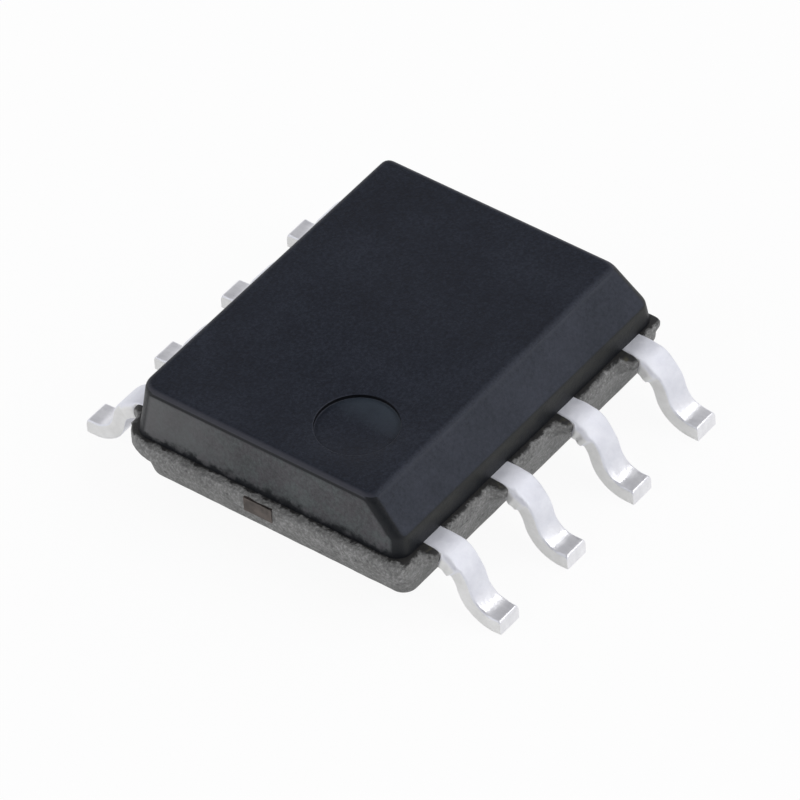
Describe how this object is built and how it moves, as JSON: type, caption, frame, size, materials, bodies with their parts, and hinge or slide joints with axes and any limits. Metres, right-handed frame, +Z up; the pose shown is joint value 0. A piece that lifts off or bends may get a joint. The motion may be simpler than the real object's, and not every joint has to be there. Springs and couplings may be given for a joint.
{
  "type": "soic chip",
  "caption": "Small-outline surface-mount package: black moulded body with a bevelled edge and an index dimple, gull-wing leads along both long sides, and a wire-bonded die sealed inside.",
  "frame": {"origin": "centre of the footprint, on the board's surface under the feet of the leads", "axes": "+Z up out of the board, +X along the moulded body from the end beside lead 1 to the other end, +Y across the body from leads 1 to 4 to leads 5 to 8"},
  "size_m": [0.0052, 0.006, 0.0016],
  "materials": {
    "mould_compound": "fine matte grain",
    "tinned_lead": "matte tin plating",
    "leadframe_copper": "satin copper",
    "die_adhesive": "silver-filled epoxy",
    "silicon": "polished silicon",
    "gold_wire": "bright gold"
  },
  "bodies": {
    "root": {"body": "mould_compound", "lead_1": "tinned_lead", "lead_2": "tinned_lead", "lead_3": "tinned_lead", "lead_4": "tinned_lead", "lead_5": "tinned_lead", "lead_6": "tinned_lead", "lead_7": "tinned_lead", "lead_8": "tinned_lead", "die_pad": "leadframe_copper", "die_attach": "die_adhesive", "die": "silicon", "bond_wire_1": "gold_wire", "bond_wire_2": "gold_wire", "bond_wire_3": "gold_wire", "bond_wire_4": "gold_wire", "bond_wire_5": "gold_wire", "bond_wire_6": "gold_wire", "bond_wire_7": "gold_wire", "bond_wire_8": "gold_wire"}
  },
  "joints": []
}
